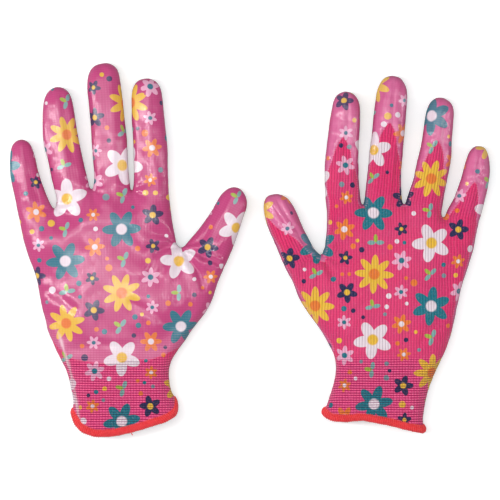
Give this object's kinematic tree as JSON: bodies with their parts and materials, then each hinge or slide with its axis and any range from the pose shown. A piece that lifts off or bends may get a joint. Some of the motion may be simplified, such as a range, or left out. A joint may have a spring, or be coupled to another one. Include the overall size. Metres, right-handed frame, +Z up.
{
  "type": "gardening gloves",
  "caption": "Pair of seamless knitted gardening gloves with a clear dipped coating over palm and fingers, an elastic cuff and a red overlocked hem, lying flat.",
  "frame": {"origin": "middle of the pair on the surface the gloves rest on", "axes": "+X to the right across the pair, +Y towards the fingertips, +Z up from the resting surface"},
  "size_m": [0.3018, 0.2334, 0.0165],
  "materials": {
    "knit_liner": "fine seamless knit, floral print on magenta",
    "coating": "thin clear dip, glossy, over the printed knit",
    "elastic": "covered elastic yarn",
    "overlock_thread": "dense red overlock stitching"
  },
  "bodies": {
    "glove_a_hand": {"glove_a_hand_liner": "knit_liner", "glove_a_palm_coating": "coating"},
    "glove_a_cuff": {"glove_a_cuff_liner": "knit_liner", "glove_a_cuff_elastic": "elastic", "glove_a_hem_binding": "overlock_thread", "glove_a_hem_thread": "overlock_thread"},
    "glove_a_thumb_base": {"glove_a_thumb_base_sleeve": "knit_liner", "glove_a_thumb_base_coating": "coating"},
    "glove_a_thumb_tip": {"glove_a_thumb_tip_sleeve": "knit_liner", "glove_a_thumb_tip_coating": "coating"},
    "glove_a_index_base": {"glove_a_index_base_sleeve": "knit_liner", "glove_a_index_base_coating": "coating"},
    "glove_a_index_tip": {"glove_a_index_tip_sleeve": "knit_liner", "glove_a_index_tip_coating": "coating"},
    "glove_a_middle_base": {"glove_a_middle_base_sleeve": "knit_liner", "glove_a_middle_base_coating": "coating"},
    "glove_a_middle_tip": {"glove_a_middle_tip_sleeve": "knit_liner", "glove_a_middle_tip_coating": "coating"},
    "glove_a_ring_base": {"glove_a_ring_base_sleeve": "knit_liner", "glove_a_ring_base_coating": "coating"},
    "glove_a_ring_tip": {"glove_a_ring_tip_sleeve": "knit_liner", "glove_a_ring_tip_coating": "coating"},
    "glove_a_little_base": {"glove_a_little_base_sleeve": "knit_liner", "glove_a_little_base_coating": "coating"},
    "glove_a_little_tip": {"glove_a_little_tip_sleeve": "knit_liner", "glove_a_little_tip_coating": "coating"},
    "glove_b_hand": {"glove_b_hand_liner": "knit_liner", "glove_b_palm_coating": "coating"},
    "glove_b_cuff": {"glove_b_cuff_liner": "knit_liner", "glove_b_cuff_elastic": "elastic", "glove_b_hem_binding": "overlock_thread", "glove_b_hem_thread": "overlock_thread"},
    "glove_b_thumb_base": {"glove_b_thumb_base_sleeve": "knit_liner", "glove_b_thumb_base_coating": "coating"},
    "glove_b_thumb_tip": {"glove_b_thumb_tip_sleeve": "knit_liner", "glove_b_thumb_tip_coating": "coating"},
    "glove_b_index_base": {"glove_b_index_base_sleeve": "knit_liner", "glove_b_index_base_coating": "coating"},
    "glove_b_index_tip": {"glove_b_index_tip_sleeve": "knit_liner", "glove_b_index_tip_coating": "coating"},
    "glove_b_middle_base": {"glove_b_middle_base_sleeve": "knit_liner", "glove_b_middle_base_coating": "coating"},
    "glove_b_middle_tip": {"glove_b_middle_tip_sleeve": "knit_liner", "glove_b_middle_tip_coating": "coating"},
    "glove_b_ring_base": {"glove_b_ring_base_sleeve": "knit_liner", "glove_b_ring_base_coating": "coating"},
    "glove_b_ring_tip": {"glove_b_ring_tip_sleeve": "knit_liner", "glove_b_ring_tip_coating": "coating"},
    "glove_b_little_base": {"glove_b_little_base_sleeve": "knit_liner", "glove_b_little_base_coating": "coating"},
    "glove_b_little_tip": {"glove_b_little_tip_sleeve": "knit_liner", "glove_b_little_tip_coating": "coating"}
  },
  "joints": [
    {"name": "glove_a_wrist_fold", "type": "hinge", "parent": "glove_a_hand", "child": "glove_a_cuff", "pos_m": [-0.08477, -0.07379, 0.007], "axis": [-1, 0, 0], "range_deg": [-40, 40]},
    {"name": "glove_a_thumb_knuckle_fold", "type": "hinge", "parent": "glove_a_hand", "child": "glove_a_thumb_base", "pos_m": [-0.03009, -0.00511, 0.007], "axis": [0.8436, -0.537, 0], "range_deg": [-20, 60]},
    {"name": "glove_a_thumb_middle_fold", "type": "hinge", "parent": "glove_a_thumb_base", "child": "glove_a_thumb_tip", "pos_m": [-0.02059, 0.01134, 0.007], "axis": [0.8867, -0.4624, 0], "range_deg": [-10, 70]},
    {"name": "glove_a_index_knuckle_fold", "type": "hinge", "parent": "glove_a_hand", "child": "glove_a_index_base", "pos_m": [-0.06312, 0.03681, 0.007], "axis": [0.9962, 0.0872, 0], "range_deg": [-20, 80]},
    {"name": "glove_a_index_middle_fold", "type": "hinge", "parent": "glove_a_index_base", "child": "glove_a_index_tip", "pos_m": [-0.06419, 0.06503, 0.007], "axis": [0.9962, 0.0872, 0], "range_deg": [-10, 80]},
    {"name": "glove_a_middle_knuckle_fold", "type": "hinge", "parent": "glove_a_hand", "child": "glove_a_middle_base", "pos_m": [-0.08736, 0.03741, 0.007], "axis": [0.9962, 0.0872, 0], "range_deg": [-20, 80]},
    {"name": "glove_a_middle_middle_fold", "type": "hinge", "parent": "glove_a_middle_base", "child": "glove_a_middle_tip", "pos_m": [-0.08925, 0.06937, 0.007], "axis": [0.9962, 0.0872, 0], "range_deg": [-10, 80]},
    {"name": "glove_a_ring_knuckle_fold", "type": "hinge", "parent": "glove_a_hand", "child": "glove_a_ring_base", "pos_m": [-0.11131, 0.03433, 0.007], "axis": [0.9962, 0.0872, 0], "range_deg": [-20, 80]},
    {"name": "glove_a_ring_middle_fold", "type": "hinge", "parent": "glove_a_ring_base", "child": "glove_a_ring_tip", "pos_m": [-0.1173, 0.06128, 0.007], "axis": [0.9962, 0.0872, 0], "range_deg": [-10, 80]},
    {"name": "glove_a_little_knuckle_fold", "type": "hinge", "parent": "glove_a_hand", "child": "glove_a_little_base", "pos_m": [-0.13464, 0.02169, 0.007], "axis": [0.9962, 0.0872, 0], "range_deg": [-20, 80]},
    {"name": "glove_a_little_middle_fold", "type": "hinge", "parent": "glove_a_little_base", "child": "glove_a_little_tip", "pos_m": [-0.13983, 0.03996, 0.007], "axis": [0.9962, 0.0872, 0], "range_deg": [-10, 80]},
    {"name": "glove_b_wrist_fold", "type": "hinge", "parent": "glove_b_hand", "child": "glove_b_cuff", "pos_m": [0.08583, -0.07379, 0.007], "axis": [1, 0, 0], "range_deg": [-40, 40]},
    {"name": "glove_b_thumb_knuckle_fold", "type": "hinge", "parent": "glove_b_hand", "child": "glove_b_thumb_base", "pos_m": [0.03257, -0.00826, 0.007], "axis": [-0.8188, -0.5741, 0], "range_deg": [-20, 60]},
    {"name": "glove_b_thumb_middle_fold", "type": "hinge", "parent": "glove_b_thumb_base", "child": "glove_b_thumb_tip", "pos_m": [0.02294, 0.00809, 0.007], "axis": [-0.8994, -0.4371, 0], "range_deg": [-10, 70]},
    {"name": "glove_b_index_knuckle_fold", "type": "hinge", "parent": "glove_b_hand", "child": "glove_b_index_base", "pos_m": [0.0581, 0.03051, 0.007], "axis": [-0.9962, 0.0872, 0], "range_deg": [-20, 80]},
    {"name": "glove_b_index_middle_fold", "type": "hinge", "parent": "glove_b_index_base", "child": "glove_b_index_tip", "pos_m": [0.05723, 0.05873, 0.007], "axis": [-0.9962, 0.0872, 0], "range_deg": [-10, 80]},
    {"name": "glove_b_middle_knuckle_fold", "type": "hinge", "parent": "glove_b_hand", "child": "glove_b_middle_base", "pos_m": [0.08344, 0.03021, 0.007], "axis": [-0.9962, 0.0872, 0], "range_deg": [-20, 80]},
    {"name": "glove_b_middle_middle_fold", "type": "hinge", "parent": "glove_b_middle_base", "child": "glove_b_middle_tip", "pos_m": [0.08555, 0.06216, 0.007], "axis": [-0.9962, 0.0872, 0], "range_deg": [-10, 80]},
    {"name": "glove_b_ring_knuckle_fold", "type": "hinge", "parent": "glove_b_hand", "child": "glove_b_ring_base", "pos_m": [0.10871, 0.02792, 0.007], "axis": [-0.9962, 0.0872, 0], "range_deg": [-20, 80]},
    {"name": "glove_b_ring_middle_fold", "type": "hinge", "parent": "glove_b_ring_base", "child": "glove_b_ring_tip", "pos_m": [0.11532, 0.05472, 0.007], "axis": [-0.9962, 0.0872, 0], "range_deg": [-10, 80]},
    {"name": "glove_b_little_knuckle_fold", "type": "hinge", "parent": "glove_b_hand", "child": "glove_b_little_base", "pos_m": [0.13276, 0.01913, 0.007], "axis": [-0.9962, 0.0872, 0], "range_deg": [-20, 80]},
    {"name": "glove_b_little_middle_fold", "type": "hinge", "parent": "glove_b_little_base", "child": "glove_b_little_tip", "pos_m": [0.13916, 0.037, 0.007], "axis": [-0.9962, 0.0872, 0], "range_deg": [-10, 80]},
    {"name": "glove_b_lift", "type": "slide", "parent": "glove_a_hand", "child": "glove_b_hand", "axis": [0, 0, 1], "range_m": [0, 0.15]}
  ]
}
